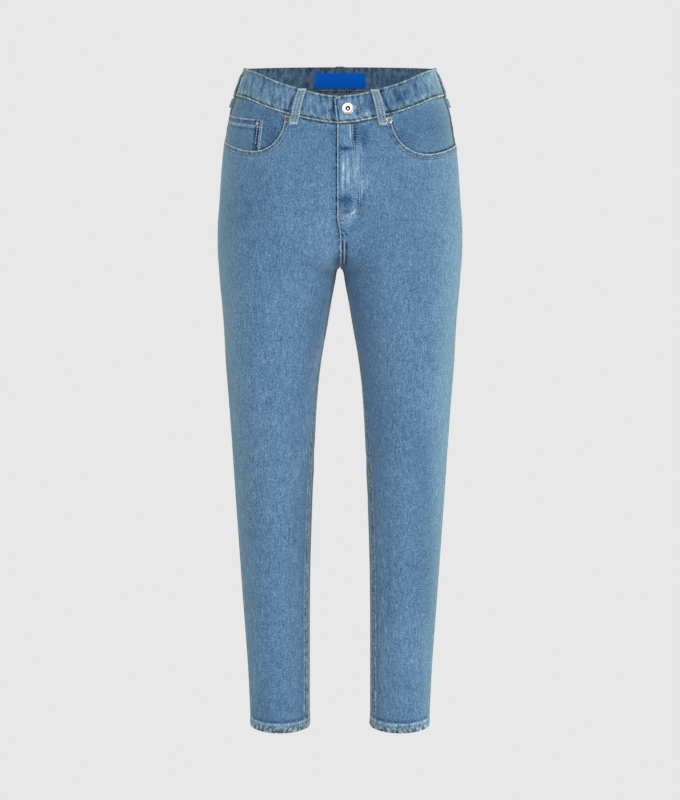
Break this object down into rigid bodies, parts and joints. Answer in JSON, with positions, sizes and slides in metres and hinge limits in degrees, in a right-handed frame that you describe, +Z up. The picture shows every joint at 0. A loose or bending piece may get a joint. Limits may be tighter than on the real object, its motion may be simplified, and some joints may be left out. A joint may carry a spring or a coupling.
{
  "type": "mom jeans",
  "caption": "High-rise denim trousers with tapered legs, filled out as worn, open at the waist and hems, with a fly front, belt loops, curved front pockets and patch back pockets.",
  "frame": {"origin": "middle of the waist opening, about level with the top edge of the waistband at the side seams", "axes": "+X towards the wearer's left, +Y towards the back, +Z up towards the waist; the legs run down along -Z"},
  "size_m": [0.362, 0.2413, 1.0045],
  "materials": {
    "denim": "medium washed blue cotton twill denim, mottled, with pale worn ridges at seams and edges",
    "denim_shade": "the same denim, less washed, behind the pocket mouths",
    "steel": "bright nickel-plated steel, slightly brushed",
    "brass": "small antique brass rivet head",
    "label_cloth": "plain blue woven label, satin face"
  },
  "bodies": {
    "root": {"back_left": "denim", "back_pocket_left": "denim", "back_pocket_right": "denim", "back_right": "denim", "belt_loop_back": "denim", "belt_loop_front_left": "denim", "belt_loop_front_right": "denim", "belt_loop_side_left": "denim", "belt_loop_side_right": "denim", "button": "steel", "coin_pocket": "denim_shade", "fly_facing": "denim_shade", "front_left": "denim", "front_right": "denim", "hip_facing_left": "denim_shade", "hip_facing_right": "denim_shade", "label": "label_cloth", "rivet_coin": "brass", "rivet_left": "steel", "rivet_right": "steel", "waistband": "denim", "yoke_left": "denim", "yoke_right": "denim"}
  },
  "joints": []
}
